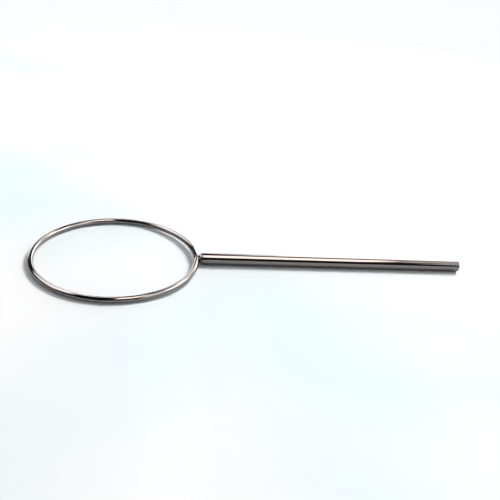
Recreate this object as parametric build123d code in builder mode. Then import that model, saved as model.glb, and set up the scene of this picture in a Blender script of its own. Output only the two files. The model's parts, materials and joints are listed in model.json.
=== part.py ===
"""Loop of round wire on a plain round bar: the wire's two ends meet at the handle and are welded to its nose.

The bar runs along +X and the ring lies flat, level with the bar's axis. The bar's lowest line is on Z = 0,
and X = 0 is half way along the whole tool.
"""
import math
import os

from build123d import *

os.makedirs("parts", exist_ok=True)

# Wire loop (millimetres and degrees)
wire_diameter = 3.0
ring_inner_diameter = 77.0
tail_angle = 10.0  # the wire runs straight, not round, over this last angle before the handle
end_root_gap = 0.1  # between the inner corners of the wire's two square-cut ends
end_rounding = 0.4  # of each cut end's rim, which leaves a groove round the joint

# Handle bar
rod_diameter = 6.0
handle_length = 138.0  # from the outside of the wire to the free end
nose_length = 1.0  # rounded part of the bar, beyond the outside of the wire
nose_tip_diameter = 4.4
cope_depth = 0.3  # how far the nose's lips reach back over the wire
cope_clearance = 0.08
end_chamfer = 0.45

# Weld
weld_setback = 0.4  # from the wire's centreline to the weld's root, inside the wire
weld_root_diameter = 2.4
weld_length = 1.4

# Sizes that follow
wire_radius = wire_diameter / 2
rod_radius = rod_diameter / 2
nose_tip_radius = nose_tip_diameter / 2
weld_root_radius = weld_root_diameter / 2
bend_radius = ring_inner_diameter / 2 + wire_radius
outer_radius = bend_radius + wire_radius
tail_tilt = math.radians(tail_angle)
apex_reach = bend_radius / math.cos(tail_tilt)  # from the ring's centre to where the tails' lines cross
overall_length = outer_radius + apex_reach + wire_radius + handle_length

# Places along the tool
axis_height = rod_radius
ring_x = outer_radius - overall_length / 2
apex_x = ring_x + apex_reach
wire_outside_x = apex_x + wire_radius
nose_tip_x = wire_outside_x - cope_depth
nose_end_x = wire_outside_x + nose_length
free_end_x = wire_outside_x + handle_length
weld_start_x = apex_x + weld_setback
weld_end_x = weld_start_x + weld_length

# Where the round bend turns into a tail, and the middle of each square-cut end: the end is tilted by the
# tail angle, so its inner corner reaches towards the other end by the wire's radius times the sine
tangent_x = ring_x + bend_radius * math.cos(tail_tilt)
tangent_y = bend_radius * math.sin(tail_tilt)
end_y = wire_radius * math.sin(tail_tilt) + end_root_gap / 2
end_x = apex_x - end_y * math.tan(tail_tilt)

# The nose is one arc, tangent to the bar, and the weld's face runs into it at the nose's own slope
nose_run = nose_end_x - nose_tip_x
nose_drop = rod_radius - nose_tip_radius
nose_arc_radius = (nose_run**2 + nose_drop**2) / (2 * nose_drop)
weld_end_slope = math.asin((nose_end_x - weld_end_x) / nose_arc_radius)
weld_end_radius = rod_radius - nose_arc_radius * (1 - math.cos(weld_end_slope))

# The handle's axis, and the upright plane through it in which its profiles are drawn
handle_axis = Axis((0, 0, axis_height), (1, 0, 0))
profile_plane = Plane(origin=(0, 0, axis_height), x_dir=(1, 0, 0), z_dir=(0, -1, 0))

# loop_wire: straight tail, round bend, straight tail, with the rims of both cut ends rounded
with BuildPart() as loop_wire:
    with BuildLine(Plane.XY.offset(axis_height)) as wire_path:
        Line((end_x, end_y), (tangent_x, tangent_y))
        CenterArc((ring_x, 0), bend_radius, tail_angle, 360 - 2 * tail_angle)
        Line((tangent_x, -tangent_y), (end_x, -end_y))
    with BuildSketch(Plane(origin=wire_path.line @ 0, z_dir=wire_path.line % 0)):
        Circle(wire_radius)
    sweep()
    fillet(loop_wire.faces().filter_by(GeomType.PLANE).edges(), radius=end_rounding)

# handle_rod: bar with a rounded nose, coped across to sit on the wire, and a chamfered free end
with BuildPart() as handle_rod:
    with BuildSketch(profile_plane):
        with BuildLine():
            nose = TangentArc((nose_end_x, rod_radius), (nose_tip_x, nose_tip_radius), tangent=(-1, 0))
            Polyline(nose @ 1, (nose_tip_x, 0), (free_end_x, 0), (free_end_x, rod_radius), nose @ 0)
        make_face()
    revolve(axis=handle_axis)
    with BuildSketch(profile_plane):
        with Locations((apex_x, 0)):
            Circle(wire_radius + cope_clearance)
    extrude(amount=rod_diameter, both=True, mode=Mode.SUBTRACT)
    chamfer(handle_rod.faces().sort_by(Axis.X)[-1].edges(), length=end_chamfer)

# neck_weld: fills the joint between the wire's two ends and the nose. Its face is a hollow arc all round,
# from inside the wire to the nose
weld_end_tangent = (-math.cos(weld_end_slope), -math.sin(weld_end_slope))

with BuildPart() as neck_weld:
    with BuildSketch(profile_plane):
        with BuildLine():
            face = TangentArc(
                (weld_end_x, weld_end_radius),
                (weld_start_x, weld_root_radius),
                tangent=weld_end_tangent,
            )
            Polyline(face @ 1, (weld_start_x, 0), (weld_end_x, 0), face @ 0)
        make_face()
    revolve(axis=handle_axis)
    add(handle_rod.part, mode=Mode.SUBTRACT)
    add(loop_wire.part, mode=Mode.SUBTRACT)

loop_wire.part.label = "loop_wire"
handle_rod.part.label = "handle_rod"
neck_weld.part.label = "neck_weld"

export_step(loop_wire.part, "parts/loop_wire.step")
export_step(handle_rod.part, "parts/handle_rod.step")
export_step(neck_weld.part, "parts/neck_weld.step")
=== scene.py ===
import json
import math
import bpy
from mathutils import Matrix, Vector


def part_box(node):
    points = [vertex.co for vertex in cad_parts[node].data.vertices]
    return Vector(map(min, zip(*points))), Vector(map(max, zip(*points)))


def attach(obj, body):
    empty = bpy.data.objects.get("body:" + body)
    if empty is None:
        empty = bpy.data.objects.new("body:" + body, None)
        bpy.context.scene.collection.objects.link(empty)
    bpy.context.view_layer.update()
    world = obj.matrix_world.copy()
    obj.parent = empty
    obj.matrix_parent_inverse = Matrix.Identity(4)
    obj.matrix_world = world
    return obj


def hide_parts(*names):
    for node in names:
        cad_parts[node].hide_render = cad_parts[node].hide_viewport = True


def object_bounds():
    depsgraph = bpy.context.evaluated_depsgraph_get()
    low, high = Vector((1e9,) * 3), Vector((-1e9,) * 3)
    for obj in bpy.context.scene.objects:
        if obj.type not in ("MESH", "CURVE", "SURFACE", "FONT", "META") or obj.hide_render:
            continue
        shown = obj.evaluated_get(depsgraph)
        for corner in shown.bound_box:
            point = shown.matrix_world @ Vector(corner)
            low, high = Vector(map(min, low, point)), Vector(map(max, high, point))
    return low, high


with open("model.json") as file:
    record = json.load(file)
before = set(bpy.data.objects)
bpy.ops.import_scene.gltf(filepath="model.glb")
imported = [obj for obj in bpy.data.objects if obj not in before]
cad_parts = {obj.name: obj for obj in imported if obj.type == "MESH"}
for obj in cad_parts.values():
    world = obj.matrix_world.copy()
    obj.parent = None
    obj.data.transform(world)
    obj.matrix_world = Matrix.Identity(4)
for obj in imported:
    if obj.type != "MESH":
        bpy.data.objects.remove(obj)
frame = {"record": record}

from types import SimpleNamespace

import bpy
import numpy as np
from mathutils import Matrix, Vector

bl_info = {
    "name": "Wire Loop on a Bar Handle",
    "version": (1, 0, 0),
    "blender": (4, 5, 0),
    "location": "3D View > Sidebar > Wire Loop",
    "description": "Makes a ring of wire welded to a plain bar handle, with its metal finishes and a stage",
    "category": "Add Mesh",
}

MM = 0.001

# The frame's sizes, in metres
CAD_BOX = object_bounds()
WIRE_LOW, WIRE_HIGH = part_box("loop_wire")
BAR_LOW, BAR_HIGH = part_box("handle_rod")
SHANK = next(m for m in frame["record"]["mounts"] if m["name"] == "shank")
SHANK_MIDDLE = SHANK["pos_m"][0]
SHANK_HALF = SHANK["dims"]["length_mm"] * MM / 2

WIRE_DIAMETER = WIRE_HIGH.z - WIRE_LOW.z
BAR_DIAMETER = BAR_HIGH.z - BAR_LOW.z
AXIS_HEIGHT = (BAR_HIGH.z + BAR_LOW.z) / 2
UP = np.array([0.0, 0.0, 1.0])


# ---------------------------------------------------------------- helpers


def linear(hex_colour):
    """Linear RGBA of an sRGB hex colour such as "c8c4c0"."""
    channels = [int(hex_colour[i : i + 2], 16) / 255 for i in (0, 2, 4)]
    return (*[c / 12.92 if c <= 0.04045 else ((c + 0.055) / 1.055) ** 2.4 for c in channels], 1.0)


def add_node(tree, kind, settings=None, **inputs):
    """Adds a shader node with its settings and inputs.

    Inputs go by name, or by number as _0 and _1: a socket is linked, and a value is set.
    """
    node = tree.nodes.new(kind)
    for name, value in (settings or {}).items():
        setattr(node, name, value)
    for name, value in inputs.items():
        key = int(name[1:]) if name[0] == "_" else name.replace("_", " ")
        if isinstance(value, bpy.types.NodeSocket):
            tree.links.new(value, node.inputs[key])
        else:
            node.inputs[key].default_value = value
    return node


def set_ramp(node, stops):
    """Gives a colour ramp its (position, hex colour) stops, in rising order, and returns its colour."""
    elements = node.color_ramp.elements
    for position, _ in stops[1:-1]:
        elements.new(position)
    for element, (position, hex_colour) in zip(elements, stops):
        element.position = position
        element.color = linear(hex_colour)
    return node.outputs["Color"]


def new_material(name):
    """An empty node material, as (material, node tree, output node)."""
    material = bpy.data.materials.new(name)
    material.use_nodes = True
    material.node_tree.nodes.clear()
    return material, material.node_tree, add_node(material.node_tree, "ShaderNodeOutputMaterial")


def tangent_arc(start, end, tangent, steps):
    """Points on the arc that leaves start along tangent and ends at end.

    Its centre is on the tangent's normal at start, at a distance of chord squared over twice the chord's
    part along that normal, and it turns through twice the angle between tangent and chord.
    """
    start, end, tangent = (np.array(v, float) for v in (start, end, tangent))
    chord = end - start
    normal = np.array([-tangent[1], tangent[0]])
    radius = chord @ chord / (2 * chord @ normal)
    angle = np.linspace(0, 2 * math.atan2(chord @ normal, chord @ tangent), steps)[:, None]
    return start + radius * (normal + np.sin(angle) * tangent - np.cos(angle) * normal)


def eased(corners, reach, steps=5):
    """A line through corners, with each inner one eased by a quadratic curve that starts reach away from it.

    Its points are (1 - t) squared x start + 2 t (1 - t) x corner + t squared x end.
    """
    line = [corners[:1]]
    t = np.linspace(0, 1, steps)[:, None]
    for before, corner, after in zip(corners[:-2], corners[1:-1], corners[2:]):
        start = corner + (before - corner) / np.linalg.norm(before - corner) * reach
        end = corner + (after - corner) / np.linalg.norm(after - corner) * reach
        line.append((1 - t) ** 2 * start + 2 * t * (1 - t) * corner + t**2 * end)
    return np.concatenate([*line, corners[-1:]])


def turned(profile, columns, reshape=None):
    """Points of a profile turned about the bar's axis: place x and radius r give (x, r cos a, r sin a).

    reshape, if given, is called with the grids of x, y and height, and returns them changed.
    """
    angle = np.linspace(0, 2 * math.pi, columns, endpoint=False)
    place = np.repeat(profile[:, :1], columns, axis=1)
    grids = place, profile[:, 1:] * np.cos(angle), profile[:, 1:] * np.sin(angle)
    return np.stack(reshape(*grids) if reshape else grids, axis=-1)


def skin(name, rows, first_pole, last_pole, unbent, from_weld):
    """A closed surface through a grid of points, joined round each row and to a pole at either end.

    Seen along the rows, the columns turn clockwise. unbent is the same grid laid out straight, which the
    finishes follow as they follow the drawn metal. from_weld is each point's distance from the weld, along
    the metal.
    """
    count, columns = rows.shape[:2]
    corner = np.arange(count * columns).reshape(count, columns)
    beside = np.roll(corner, -1, axis=1)
    quads = np.stack([corner[:-1], beside[:-1], beside[1:], corner[1:]], axis=-1).reshape(-1, 4)
    pole = np.full(columns, count * columns)
    first_fan = np.stack([beside[0], corner[0], pole], axis=-1)
    last_fan = np.stack([corner[-1], beside[-1], pole + 1], axis=-1)
    points = np.concatenate([rows.reshape(-1, 3), [first_pole], [last_pole]])
    straight = np.concatenate([unbent.reshape(-1, 3), [unbent[0].mean(axis=0)], [unbent[-1].mean(axis=0)]])
    away = np.concatenate([from_weld.ravel(), [from_weld[0].mean()], [from_weld[-1].mean()]])

    mesh = bpy.data.meshes.new(name)
    mesh.from_pydata(points.tolist(), [], quads.tolist() + first_fan.tolist() + last_fan.tolist())
    if mesh.validate():
        raise RuntimeError(f"{name} has a bad face")
    mesh.polygons.foreach_set("use_smooth", np.ones(len(mesh.polygons), dtype=bool))
    mesh.attributes.new("unbent", "FLOAT_VECTOR", "POINT").data.foreach_set("vector", straight.ravel())
    mesh.attributes.new("from_weld", "FLOAT", "POINT").data.foreach_set("value", away)
    mesh.update()

    piece = bpy.data.objects.new(name, mesh)
    bpy.context.scene.collection.objects.link(piece)
    return piece


def fit_piece(piece, node, material):
    """Gives a piece its finish and ties it to the frame in place of its CAD node."""
    piece.data.materials.append(material)
    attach(piece, "root")
    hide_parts(node)


# ---------------------------------------------------------------- sizes and looks


class WireLoopSizes(bpy.types.PropertyGroup):
    """Sizes of the tool. Those that the frame's boxes give start from it."""

    wire_diameter: bpy.props.FloatProperty(
        name="Wire Diameter",
        description="Thickness of the ring's wire",
        default=WIRE_DIAMETER,
        unit="LENGTH",
        precision=5,
    )
    ring_inner_diameter: bpy.props.FloatProperty(
        name="Ring Inner Diameter",
        description="Across the ring's inside",
        default=WIRE_HIGH.y - WIRE_LOW.y - 2 * WIRE_DIAMETER,
        unit="LENGTH",
        precision=5,
    )
    tail_angle: bpy.props.FloatProperty(
        name="Tail Angle",
        description="The wire runs straight over this last angle before the bar",
        default=math.radians(10),
        subtype="ANGLE",
    )
    root_gap: bpy.props.FloatProperty(
        name="Root Gap",
        description="Between the inner corners of the wire's two cut ends",
        default=0.1 * MM,
        unit="LENGTH",
        precision=5,
    )
    end_rounding: bpy.props.FloatProperty(
        name="End Rounding",
        description="Radius of the rim of each cut end",
        default=0.4 * MM,
        unit="LENGTH",
        precision=5,
    )
    bar_diameter: bpy.props.FloatProperty(
        name="Bar Diameter",
        description="Thickness of the handle",
        default=BAR_DIAMETER,
        unit="LENGTH",
        precision=5,
    )
    nose_length: bpy.props.FloatProperty(
        name="Nose Length",
        description="Rounded part of the bar, beyond the wire's outside",
        default=1.0 * MM,
        unit="LENGTH",
        precision=5,
    )
    nose_tip_diameter: bpy.props.FloatProperty(
        name="Nose Tip Diameter",
        description="Of the bar where its nose meets the wire",
        default=4.4 * MM,
        unit="LENGTH",
        precision=5,
    )
    cope_depth: bpy.props.FloatProperty(
        name="Cope Depth",
        description="How far the nose reaches back over the wire",
        default=0.3 * MM,
        unit="LENGTH",
        precision=5,
    )
    cope_clearance: bpy.props.FloatProperty(
        name="Cope Clearance",
        description="Between the hollow in the nose and the wire",
        default=0.08 * MM,
        unit="LENGTH",
        precision=5,
    )
    weld_setback: bpy.props.FloatProperty(
        name="Weld Setback",
        description="From the wire's centreline to the weld's root",
        default=0.4 * MM,
        unit="LENGTH",
        precision=5,
    )
    weld_root_diameter: bpy.props.FloatProperty(
        name="Weld Root Diameter",
        description="Of the weld at its root inside the wire",
        default=2.4 * MM,
        unit="LENGTH",
        precision=5,
    )
    weld_length: bpy.props.FloatProperty(
        name="Weld Length",
        description="From the weld's root to its edge on the nose",
        default=1.4 * MM,
        unit="LENGTH",
        precision=5,
    )
    ripple_height: bpy.props.FloatProperty(
        name="Weld Ripple",
        description="Height of the ripples on the weld's face",
        default=0.03 * MM,
        unit="LENGTH",
        precision=5,
    )


class WireLoopLook(bpy.types.PropertyGroup):
    """Colours and finish of the metals."""

    wire_colour: bpy.props.StringProperty(
        name="Wire Colour", description="sRGB hex colour of the polished wire", default="797472"
    )
    bar_colour: bpy.props.StringProperty(
        name="Bar Colour", description="sRGB hex colour of the polished bar", default="7a7472"
    )
    weld_colour: bpy.props.StringProperty(
        name="Weld Colour", description="sRGB hex colour of the weld's bright parts", default="a8a29c"
    )
    polish_roughness: bpy.props.FloatProperty(
        name="Polish Roughness",
        description="Roughness of the clean polished metal",
        default=0.06,
        min=0,
        max=1,
    )
    handling_dullness: bpy.props.FloatProperty(
        name="Handling Dullness",
        description="Roughness added in the patches that handling leaves",
        default=0.07,
        min=0,
        max=1,
    )
    # This also sets how far the painted shade beside the weld spreads
    heat_tint_and_shade_reach: bpy.props.FloatProperty(
        name="Heat Tint and Shade Reach",
        description="How far from the weld the heat tint fades out",
        default=4.5 * MM,
        unit="LENGTH",
        precision=5,
    )


class WireLoopStage(bpy.types.PropertyGroup):
    """Floor, camera and lamps."""

    floor_colour: bpy.props.StringProperty(
        name="Floor Colour", description="sRGB hex colour of the bench", default="fafbfb"
    )
    floor_tint: bpy.props.StringProperty(
        name="Floor Tint", description="sRGB hex colour of the bench's faint blue patches", default="e6f5f9"
    )
    room_colour: bpy.props.StringProperty(
        name="Room Colour", description="sRGB hex colour of the walls and the background", default="fbfdff"
    )
    rise_height: bpy.props.FloatProperty(
        name="Bench Rise",
        description="How far the bench rises under the ring",
        default=1.35 * MM,
        unit="LENGTH",
        precision=5,
    )
    rise_reach: bpy.props.FloatProperty(
        name="Bench Rise Reach",
        description="From the bar's nose to where the bench stops rising",
        default=34 * MM,
        unit="LENGTH",
        precision=5,
    )
    azimuth: bpy.props.FloatProperty(
        name="Camera Azimuth",
        description="Turn of the camera round the tool from straight in front of it, to the right",
        default=math.radians(-9.655),
        subtype="ANGLE",
    )
    elevation: bpy.props.FloatProperty(
        name="Camera Elevation",
        description="Angle from which the camera looks down",
        default=math.radians(27.685),
        subtype="ANGLE",
    )
    roll: bpy.props.FloatProperty(
        name="Camera Roll",
        description="Turn of the camera about its line of sight",
        default=math.radians(6.271),
        subtype="ANGLE",
    )
    distance: bpy.props.FloatProperty(
        name="Camera Distance",
        description="From the camera to the point it aims at",
        default=0.3415,
        unit="LENGTH",
    )
    aim: bpy.props.FloatVectorProperty(
        name="Camera Aim",
        description="The point it aims at, from the middle of the tool's box",
        default=(-0.0005, 0.0109, 0.0),
        size=3,
        subtype="TRANSLATION",
    )
    lens: bpy.props.FloatProperty(
        name="Lens", description="Focal length on a sensor 36 mm wide", default=46.8, unit="CAMERA"
    )
    lamp_level: bpy.props.FloatProperty(
        name="Lamp Level", description="Brightness of all lamps together", default=1.0, min=0, max=5
    )
    ceiling_level: bpy.props.FloatProperty(
        name="Ceiling Level", description="Brightness of the dark ceiling", default=0.03, min=0, max=1
    )


def places(sizes):
    """Works out the places along the tool, and the radii, from its sizes."""
    wire_radius = sizes.wire_diameter / 2
    bend_radius = sizes.ring_inner_diameter / 2 + wire_radius
    bar_radius = sizes.bar_diameter / 2
    ring_x = WIRE_LOW.x + bend_radius + wire_radius
    apex_x = ring_x + bend_radius / math.cos(sizes.tail_angle)
    nose_tip_x = apex_x + wire_radius - sizes.cope_depth
    nose_end_x = apex_x + wire_radius + sizes.nose_length
    weld_start_x = apex_x + sizes.weld_setback
    weld_end_x = weld_start_x + sizes.weld_length

    # The nose is an arc tangent to the bar, and the weld leaves it along its own slope
    tip_radius = sizes.nose_tip_diameter / 2
    nose_drop = bar_radius - tip_radius
    nose_arc_radius = ((nose_end_x - nose_tip_x) ** 2 + nose_drop**2) / (2 * nose_drop)
    weld_slope = math.asin((nose_end_x - weld_end_x) / nose_arc_radius)
    return SimpleNamespace(
        wire_radius=wire_radius,
        bend_radius=bend_radius,
        bar_radius=bar_radius,
        ring_x=ring_x,
        apex_x=apex_x,
        cope_radius=wire_radius + sizes.cope_clearance,
        nose_tip_x=nose_tip_x,
        nose_end_x=nose_end_x,
        tip_radius=tip_radius,
        free_end_x=BAR_HIGH.x,
        chamfer=BAR_HIGH.x - SHANK_MIDDLE - SHANK_HALF,
        weld_start_x=weld_start_x,
        weld_end_x=weld_end_x,
        weld_slope=weld_slope,
        weld_end_radius=bar_radius - nose_arc_radius * (1 - math.cos(weld_slope)),
    )


# ---------------------------------------------------------------- finishes


def polished_steel(name, colour, look):
    """Stainless steel, drawn and then polished: mirror bands with soft wavy edges, dull patches, and a heat
    tint by the weld that is darkened further as painted shade.
    """
    material, tree, output = new_material(name)
    place = add_node(tree, "ShaderNodeAttribute", {"attribute_name": "unbent"}).outputs["Vector"]

    # Die lines run with the metal. Real ones are about 0.05 mm apart, too fine to show, so they are drawn
    # 0.7 mm apart and 50 mm long
    across, along = 1 / (0.7 * MM), 1 / (50 * MM)
    stretched = add_node(tree, "ShaderNodeMapping", Vector=place, Scale=(along, across, across))
    lines = add_node(tree, "ShaderNodeTexNoise", Vector=stretched.outputs["Vector"], Scale=1, Detail=2)

    # The polishing wheel leaves the surface faintly wavy, one wave in about 12 mm
    wave = add_node(tree, "ShaderNodeTexNoise", Vector=place, Scale=1 / (12 * MM), Detail=1)

    # Handling leaves dull patches, about 8 mm across, with finer edges
    patches = add_node(tree, "ShaderNodeTexNoise", Vector=place, Scale=1 / (8 * MM), Detail=4)
    roughness = add_node(
        tree,
        "ShaderNodeMapRange",
        Value=patches.outputs["Fac"],
        From_Min=0.45,
        From_Max=0.75,
        To_Min=look.polish_roughness,
        To_Max=look.polish_roughness + look.handling_dullness,
    )

    # Heat tint beside the weld, darkened further as painted shade where the wire and bar meet: grey blue,
    # then straw, then bare metal, with an edge made ragged by the die lines
    from_weld = add_node(tree, "ShaderNodeAttribute", {"attribute_name": "from_weld"}).outputs["Fac"]
    ragged = add_node(
        tree,
        "ShaderNodeMath",
        {"operation": "MULTIPLY_ADD"},
        _0=lines.outputs["Fac"],
        _1=1.5 * MM,
        _2=from_weld,
    )
    reach = add_node(
        tree,
        "ShaderNodeMapRange",
        Value=ragged.outputs["Value"],
        From_Min=0.8 * MM,
        From_Max=look.heat_tint_and_shade_reach,
    )
    # The dark grey blue and straw stops are partly heat tint and partly painted shade at the neck
    tint = add_node(tree, "ShaderNodeValToRGB", Fac=reach.outputs["Result"])
    metal_colour = set_ramp(tint, [(0.0, "5d5b61"), (0.45, "756e67"), (1.0, colour)])

    line_bump = add_node(
        tree, "ShaderNodeBump", Strength=0.15, Distance=0.02 * MM, Height=lines.outputs["Fac"]
    )
    wavy = add_node(
        tree,
        "ShaderNodeBump",
        Strength=0.3,
        Distance=0.06 * MM,
        Height=wave.outputs["Fac"],
        Normal=line_bump.outputs["Normal"],
    )
    steel = add_node(
        tree,
        "ShaderNodeBsdfPrincipled",
        Base_Color=metal_colour,
        Metallic=1.0,
        Roughness=roughness.outputs["Result"],
        Normal=wavy.outputs["Normal"],
    )
    tree.links.new(steel.outputs["BSDF"], output.inputs["Surface"])
    return material


def weld_metal(name, colour):
    """Stainless weld as laid: duller than the bar, browned by heat, with a grainy skin over its ripples."""
    material, tree, output = new_material(name)
    place = add_node(tree, "ShaderNodeAttribute", {"attribute_name": "unbent"}).outputs["Vector"]
    grain = add_node(tree, "ShaderNodeTexNoise", Vector=place, Scale=1 / (0.6 * MM), Detail=4).outputs["Fac"]
    browned = set_ramp(
        add_node(tree, "ShaderNodeValToRGB", Fac=grain), [(0.35, "55504c"), (0.5, "7f7974"), (0.65, colour)]
    )
    roughness = add_node(
        tree, "ShaderNodeMapRange", Value=grain, From_Min=0.3, From_Max=0.7, To_Min=0.14, To_Max=0.28
    )
    bump = add_node(tree, "ShaderNodeBump", Strength=0.4, Distance=0.04 * MM, Height=grain)
    metal = add_node(
        tree,
        "ShaderNodeBsdfPrincipled",
        Base_Color=browned,
        Metallic=1.0,
        Roughness=roughness.outputs["Result"],
        Normal=bump.outputs["Normal"],
    )
    tree.links.new(metal.outputs["BSDF"], output.inputs["Surface"])
    return material


def bench_laminate(name, colour, tint, room_colour):
    """Matt white laminate with faint blue patches, which fades into the room's white away from the tool."""
    material, tree, output = new_material(name)
    place = add_node(tree, "ShaderNodeTexCoord").outputs["Object"]

    # The patches are about 160 mm across, twice as wide as the ring
    patches = add_node(tree, "ShaderNodeTexNoise", Vector=place, Scale=1 / (160 * MM), Detail=2)
    ramp = add_node(tree, "ShaderNodeValToRGB", Fac=patches.outputs["Fac"])
    top = add_node(
        tree,
        "ShaderNodeBsdfPrincipled",
        Base_Color=set_ramp(ramp, [(0.42, colour), (0.66, tint)]),
        Roughness=0.65,
        Specular_IOR_Level=0.3,
    )

    # From 0.3 m to 0.8 m away the bench turns into the plain white background, for whatever sees it
    distance = add_node(tree, "ShaderNodeVectorMath", {"operation": "LENGTH"}, _0=place)
    far = add_node(
        tree,
        "ShaderNodeMapRange",
        {"interpolation_type": "SMOOTHSTEP"},
        Value=distance.outputs["Value"],
        From_Min=0.3,
        From_Max=0.8,
    )
    rays = add_node(tree, "ShaderNodeLightPath").outputs
    seen = add_node(
        tree, "ShaderNodeMath", {"operation": "ADD"}, _0=rays["Is Camera Ray"], _1=rays["Is Glossy Ray"]
    )
    seen = add_node(
        tree,
        "ShaderNodeMath",
        {"operation": "ADD", "use_clamp": True},
        _0=seen.outputs["Value"],
        _1=rays["Is Transmission Ray"],
    )
    share = add_node(
        tree, "ShaderNodeMath", {"operation": "MULTIPLY"}, _0=seen.outputs["Value"], _1=far.outputs["Result"]
    )
    white = add_node(tree, "ShaderNodeEmission", Color=linear(room_colour), Strength=1.0)
    mixed = add_node(
        tree,
        "ShaderNodeMixShader",
        _0=share.outputs["Value"],
        _1=top.outputs["BSDF"],
        _2=white.outputs["Emission"],
    )
    tree.links.new(mixed.outputs["Shader"], output.inputs["Surface"])
    return material


def black_felt(name):
    """Black felt on a flag: takes in nearly all the light, so it shows in the metal as a deep dark band."""
    material, tree, output = new_material(name)
    felt = add_node(tree, "ShaderNodeBsdfDiffuse", Color=linear("0a0a0b"))
    tree.links.new(felt.outputs["BSDF"], output.inputs["Surface"])
    return material


# ---------------------------------------------------------------- pieces


class WIRELOOP_OT_make_wire(bpy.types.Operator):
    """Makes the ring of round wire with its two straight tails and rounded cut ends"""

    bl_idname = "wireloop.make_wire"
    bl_label = "Make Wire Ring"

    def execute(self, context):
        sizes = context.scene.wireloop_sizes
        look = context.scene.wireloop_look
        at = places(sizes)
        tilt = sizes.tail_angle
        end_y = at.wire_radius * math.sin(tilt) + sizes.root_gap / 2
        tail = (at.bend_radius * math.sin(tilt) - end_y) / math.cos(tilt)
        sweep = 2 * math.pi - 2 * tilt
        length = 2 * tail + at.bend_radius * sweep

        # Rows, as place along the wire and radius: the flat of the cut end, its rounded rim, and the wire
        rim_rows = 9
        body_spacing = 0.35 * MM
        rim = np.linspace(0, math.pi / 2, rim_rows)
        flat = at.wire_radius - sizes.end_rounding
        end_s = np.concatenate([[0, 0], sizes.end_rounding * (1 - np.cos(rim))])
        end_radius = np.concatenate([[flat / 2, flat * 0.95], flat + sizes.end_rounding * np.sin(rim)])
        body_rows = round(length / body_spacing)
        body_s = np.linspace(sizes.end_rounding, length - sizes.end_rounding, body_rows)[1:-1]
        s = np.concatenate([end_s, body_s, length - end_s[::-1]])
        radius = np.concatenate([end_radius, np.full(len(body_s), at.wire_radius), end_radius[::-1]])

        # The centreline turns round the ring's centre at the bend radius, and at both ends the rest of its
        # length runs straight on
        turn = np.clip((s - tail) / at.bend_radius, 0, sweep)
        straight = s - tail - at.bend_radius * turn
        angle = tilt + turn
        outward = np.stack([np.cos(angle), np.sin(angle), 0 * angle], axis=-1)
        onward = np.stack([-np.sin(angle), np.cos(angle), 0 * angle], axis=-1)
        ring_centre = np.array([at.ring_x, 0, AXIS_HEIGHT])
        centre = ring_centre + at.bend_radius * outward + straight[:, None] * onward

        # Section: radius r at angle a round the wire gives centre + outward r cos a - up r sin a
        columns = 48
        around = np.linspace(0, 2 * math.pi, columns, endpoint=False)
        across = radius[:, None] * np.cos(around)
        below = radius[:, None] * np.sin(around)
        rows = centre[:, None] + across[..., None] * outward[:, None] - below[..., None] * UP
        along = np.repeat(s[:, None], columns, axis=1)
        piece = skin(
            "wire_ring",
            rows,
            centre[0],
            centre[-1],
            np.stack([along, across, below], axis=-1),
            np.minimum(along, length - along),
        )
        fit_piece(piece, "loop_wire", polished_steel("polished_wire", look.wire_colour, look))
        return {"FINISHED"}


class WIRELOOP_OT_make_bar(bpy.types.Operator):
    """Makes the bar handle, with its rounded nose hollowed to sit on the wire, and its chamfered free end"""

    bl_idname = "wireloop.make_bar"
    bl_label = "Make Bar Handle"

    def execute(self, context):
        sizes = context.scene.wireloop_sizes
        look = context.scene.wireloop_look
        at = places(sizes)

        columns = 96
        tip_rows, nose_rows, body_rows = 8, 28, 120
        edge_easing = 0.08 * MM

        # Profile, as place along the bar and radius: flat tip, nose arc, bar, chamfer with eased edges, and
        # end face
        tip_radii = np.linspace(0.1, 1, tip_rows) * at.tip_radius
        tip = np.stack([np.full(tip_rows, at.nose_tip_x), tip_radii], axis=-1)
        nose_start, nose_end = (at.nose_tip_x, at.tip_radius), (at.nose_end_x, at.bar_radius)
        nose = tangent_arc(nose_end, nose_start, (-1, 0), nose_rows)[::-1]
        chamfer_x = at.free_end_x - at.chamfer
        body_x = np.linspace(at.nose_end_x, chamfer_x - 0.3 * MM, body_rows)[1:]
        body = np.stack([body_x, np.full(len(body_x), at.bar_radius)], axis=-1)
        end_corners = np.array(
            [
                (chamfer_x - 0.2 * MM, at.bar_radius),
                (chamfer_x, at.bar_radius),
                (at.free_end_x, at.bar_radius - at.chamfer),
                (at.free_end_x, at.bar_radius - 2 * at.chamfer),
            ]
        )
        end = eased(end_corners, edge_easing)
        face = np.array([(at.free_end_x, at.bar_radius * share) for share in (0.5, 0.1)])
        profile = np.concatenate([tip, nose[1:], body, end, face])

        def coped(x, y, height):
            """The nose ends on a cylinder across it.

            x is at least the apex plus the root of (cope radius squared - height squared).
            """
            hollow = at.apex_x + np.sqrt(np.clip(at.cope_radius**2 - height**2, 0, None))
            return np.maximum(x, hollow), y, height

        unbent = turned(profile, columns)
        piece = skin(
            "bar_handle",
            turned(profile, columns, coped) + AXIS_HEIGHT * UP,
            (at.apex_x + at.cope_radius, 0, AXIS_HEIGHT),
            (at.free_end_x, 0, AXIS_HEIGHT),
            unbent,
            unbent[..., 0] - at.weld_end_x,
        )
        fit_piece(piece, "handle_rod", polished_steel("polished_bar", look.bar_colour, look))
        return {"FINISHED"}


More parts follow.
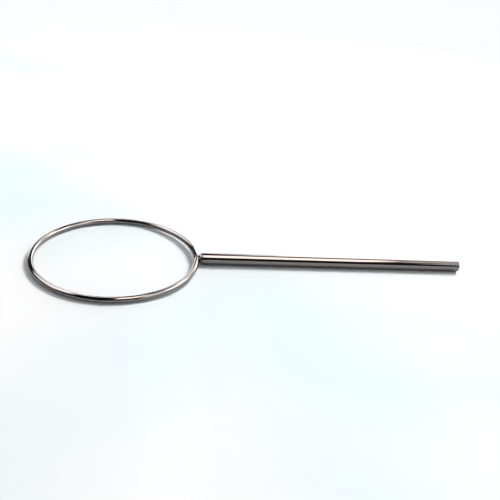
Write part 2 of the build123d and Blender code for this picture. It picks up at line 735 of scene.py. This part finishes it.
class WIRELOOP_OT_make_weld(bpy.types.Operator):
    """Makes the weld that fills the joint between the wire's two ends and the nose of the bar"""

    bl_idname = "wireloop.make_weld"
    bl_label = "Make Neck Weld"

    def execute(self, context):
        sizes = context.scene.wireloop_sizes
        look = context.scene.wireloop_look
        at = places(sizes)
        columns = 160
        face_rows = 40

        # Profile, as place along the bar and radius: the root, the face, and the end against the nose
        root_radius = sizes.weld_root_diameter / 2
        root, edge = (at.weld_start_x, root_radius), (at.weld_end_x, at.weld_end_radius)
        slope = (-math.cos(at.weld_slope), -math.sin(at.weld_slope))
        face = tangent_arc(edge, root, slope, face_rows)[::-1]
        middle_of_root, middle_of_end = (at.weld_start_x, root_radius / 2), (at.weld_end_x, root_radius)
        profile = np.concatenate([[middle_of_root], face, [middle_of_end]])
        share = np.linspace(0, 1, len(profile))[:, None]

        def rippled(x, y, height):
            """Ripples stand on the face, and it is a little out of round.

            Radius grows by the ripple height, times sin squared of the share of the way over the face, times
            the sum of a fine wave, sin(ripples x angle + bow x (share - half) squared), and two slow ones.
            The ripples are 0.55 mm apart where the radius is the wire's.
            """
            angle = np.arctan2(height, y)
            ripples = round(2 * math.pi * at.wire_radius / (0.55 * MM))
            bow = 9
            fine = np.sin(ripples * angle + bow * (share - 0.5) ** 2)
            slow = 0.8 * np.cos(2 * angle) + 0.5 * np.sin(3 * angle + 1)
            radius = np.hypot(y, height)
            grown = 1 + sizes.ripple_height * np.sin(math.pi * share) ** 2 * (fine + slow) / radius
            return x, y * grown, height * grown

        unbent = turned(profile, columns)
        piece = skin(
            "weld_bead",
            turned(profile, columns, rippled) + AXIS_HEIGHT * UP,
            (at.weld_start_x, 0, AXIS_HEIGHT),
            (at.weld_end_x, 0, AXIS_HEIGHT),
            unbent,
            0 * unbent[..., 0],
        )
        fit_piece(piece, "neck_weld", weld_metal("weld_as_laid", look.weld_colour))
        return {"FINISHED"}


# ---------------------------------------------------------------- stage


def aimed(place, target):
    """A placing at a point, with -Z towards the target and Y as near up as that leaves it."""
    turn = (target - place).to_track_quat("-Z", "Y").to_matrix().to_4x4()
    return Matrix.Translation(place) @ turn


def towards(azimuth, elevation):
    """The direction at an azimuth from +X towards +Y and an elevation above the bench, both in degrees."""
    a, e = math.radians(azimuth), math.radians(elevation)
    return Vector((math.cos(a) * math.cos(e), math.sin(a) * math.cos(e), math.sin(e)))


def softbox(name, place, target, width, height, level, colour="ffffff"):
    """A flat soft lamp at a place, aimed at a target. level is how bright its face is, where 1 is white."""
    light = bpy.data.lights.new(name, "AREA")
    light.shape = "RECTANGLE"
    light.size = width
    light.size_y = height
    light.energy = level * math.pi * width * height
    light.color = linear(colour)[:3]
    lamp = bpy.data.objects.new(name, light)
    lamp.matrix_world = aimed(place, target)
    lamp.visible_camera = False
    bpy.context.scene.collection.objects.link(lamp)
    return lamp


def stage_surface(name, rows, material):
    """An open surface through a grid of points, which belongs to the stage."""
    count, columns = rows.shape[:2]
    corner = np.arange(count * columns).reshape(count, columns)
    cells = corner[:-1, :-1], corner[:-1, 1:], corner[1:, 1:], corner[1:, :-1]
    quads = np.stack(cells, axis=-1).reshape(-1, 4)
    mesh = bpy.data.meshes.new(name)
    mesh.from_pydata(rows.reshape(-1, 3).tolist(), [], quads.tolist())
    mesh.materials.append(material)
    piece = bpy.data.objects.new(name, mesh)
    bpy.context.scene.collection.objects.link(piece)
    return piece


def felt_strip(name, first_azimuth, last_azimuth, lowest, highest, felt):
    """A strip of black felt standing 1 m from the tool, round it between two azimuths and two elevations.

    It is seen only in polished metal, as a dark band: azimuth a and elevation e give a place on a cylinder,
    (cos a, sin a, tan e).
    """
    columns = 25
    azimuth = np.radians(np.linspace(first_azimuth, last_azimuth, columns))
    rise = np.tan(np.radians([[lowest], [highest]]))
    rows = np.stack(np.broadcast_arrays(np.cos(azimuth), np.sin(azimuth), rise), axis=-1)
    strip = stage_surface(name, rows, felt)
    strip.visible_camera = False
    strip.visible_diffuse = False
    strip.visible_shadow = False


class WIRELOOP_OT_make_stage(bpy.types.Operator):
    """Makes the bench, the lamps, the black felt, the room and the camera"""

    bl_idname = "wireloop.make_stage"
    bl_label = "Make Stage"

    def execute(self, context):
        scene = context.scene
        stage = scene.wireloop_stage
        middle = (CAD_BOX[0] + CAD_BOX[1]) / 2

        # Bench: a grid whose lines stand at the sinh of even steps, so it is fine near the tool and reaches
        # the horizon. It is flat but for a slow rise (half of 1 - cos) that brings it up under the ring
        bench_reach = 12.0
        crowding = 7
        bench_lines = 141
        steps = np.linspace(-crowding, crowding, bench_lines)
        spread = np.sinh(steps) / math.sinh(crowding) * bench_reach
        bench_x, bench_y = np.meshgrid(spread, spread)
        share = np.clip((BAR_LOW.x - bench_x) / stage.rise_reach, 0, 1)
        bench_z = CAD_BOX[0].z + stage.rise_height * (1 - np.cos(math.pi * share)) / 2
        laminate = bench_laminate("bench_laminate", stage.floor_colour, stage.floor_tint, stage.room_colour)
        stage_surface("bench_top", np.stack([bench_x, bench_y, bench_z], axis=-1), laminate)

        # Two soft lamps light the bench and don't show in the metal
        lamp_distance = 3.0
        level = stage.lamp_level
        key_place, fill_place = lamp_distance * towards(35, 48), lamp_distance * towards(-90, 75)
        key = softbox("softbox_key", key_place, middle, 1.0, 1.0, 28 * level, "fffcfa")
        fill = softbox("softbox_fill", fill_place, middle, 3.0, 3.0, 0.75 * level, "f2f7ff")
        for lamp in (key, fill):
            lamp.visible_glossy = False

        # Bright panels and windows, which only the metal shows: azimuth and elevation of the middle, width
        # and height, all in degrees, and level
        for name, azimuth, elevation, wide, high, brightness in (
            ("panel_dim_right", -29, 32, 40, 30, 3.6),
            ("panel_right", 10, 31, 36, 30, 7.5),
            ("panel_far_right", 62, 33, 28, 36, 4.8),
            ("panel_far_low", 75, 12, 100, 17, 3.4),
            ("window_far", 111, 48, 20, 28, 5.0),
            ("window_left", 163, 45, 44, 34, 4.6),
        ):
            width, height = (2 * lamp_distance * math.tan(math.radians(angle / 2)) for angle in (wide, high))
            place = lamp_distance * towards(azimuth, elevation)
            panel = softbox(name, place, middle, width, height, brightness * level)
            panel.visible_diffuse = False

        # Two more hang level and face down: x and y of the middle, width and length in metres, level, colour
        for name, x, y, width, length, brightness, colour in (
            ("panel_overhead", 0.65, -0.78, 1.2, 2.5, 6.5, "fff2ec"),
            ("panel_beside", 1.9, -0.2, 1.2, 2.4, 1.7, "ffffff"),
        ):
            place = Vector((x, y, lamp_distance))
            panel = softbox(name, place, place - Vector(UP), width, length, brightness * level, colour)
            panel.visible_diffuse = False

        felt = black_felt("black_felt")
        felt_strip("felt_left", 130, 260, 0, 24, felt)
        felt_strip("felt_near", 260, 305, 9, 24, felt)

        # Room: white walls that darken into the ceiling between two elevations, in degrees
        wall_top, ceiling_edge = 16, 24
        world = bpy.data.worlds.new("studio_room")
        scene.world = world
        world.use_nodes = True
        tree = world.node_tree
        tree.nodes.clear()
        direction = add_node(tree, "ShaderNodeTexCoord").outputs["Generated"]
        rise = add_node(tree, "ShaderNodeSeparateXYZ", Vector=direction).outputs["Z"]
        wall = add_node(
            tree,
            "ShaderNodeMapRange",
            {"interpolation_type": "SMOOTHSTEP"},
            Value=rise,
            From_Min=math.sin(math.radians(ceiling_edge)),
            From_Max=math.sin(math.radians(wall_top)),
            To_Min=stage.ceiling_level,
            To_Max=1.0,
        )
        room = add_node(
            tree, "ShaderNodeBackground", Color=linear(stage.room_colour), Strength=wall.outputs["Result"]
        )
        add_node(tree, "ShaderNodeOutputWorld", Surface=room.outputs["Background"])

        scene.view_settings.view_transform = "Standard"

        lens = bpy.data.cameras.new("camera")
        lens.lens = stage.lens
        lens.clip_start = 0.01
        lens.clip_end = 50
        camera = bpy.data.objects.new("camera", lens)
        az, el = stage.azimuth, stage.elevation
        back = Vector((math.sin(az) * math.cos(el), -math.cos(az) * math.cos(el), math.sin(el)))
        aim = middle + Vector(stage.aim)
        camera.matrix_world = aimed(aim + stage.distance * back, aim) @ Matrix.Rotation(stage.roll, 4, "Z")
        scene.collection.objects.link(camera)
        scene.camera = camera
        return {"FINISHED"}


class WIRELOOP_PT_panel(bpy.types.Panel):
    """Lists the steps, sizes and looks of the wire loop"""

    bl_label = "Wire Loop"
    bl_idname = "WIRELOOP_PT_panel"
    bl_space_type = "VIEW_3D"
    bl_region_type = "UI"
    bl_category = "Wire Loop"

    def draw(self, context):
        layout = self.layout
        for operator in OPERATORS:
            layout.operator(operator.bl_idname)
        for group_name in SETTINGS:
            group = getattr(context.scene, group_name)
            box = layout.box()
            for name in group.__annotations__:
                box.prop(group, name)


SETTINGS = {"wireloop_sizes": WireLoopSizes, "wireloop_look": WireLoopLook, "wireloop_stage": WireLoopStage}
OPERATORS = (WIRELOOP_OT_make_wire, WIRELOOP_OT_make_bar, WIRELOOP_OT_make_weld, WIRELOOP_OT_make_stage)
CLASSES = (*SETTINGS.values(), *OPERATORS, WIRELOOP_PT_panel)


def register():
    for cls in CLASSES:
        bpy.utils.register_class(cls)
    for name, group in SETTINGS.items():
        setattr(bpy.types.Scene, name, bpy.props.PointerProperty(type=group))


def unregister():
    for name in SETTINGS:
        delattr(bpy.types.Scene, name)
    for cls in reversed(CLASSES):
        bpy.utils.unregister_class(cls)


def main():
    register()
    bpy.ops.wireloop.make_wire()
    bpy.ops.wireloop.make_bar()
    bpy.ops.wireloop.make_weld()
    bpy.ops.wireloop.make_stage()


if __name__ == "__main__":
    main()
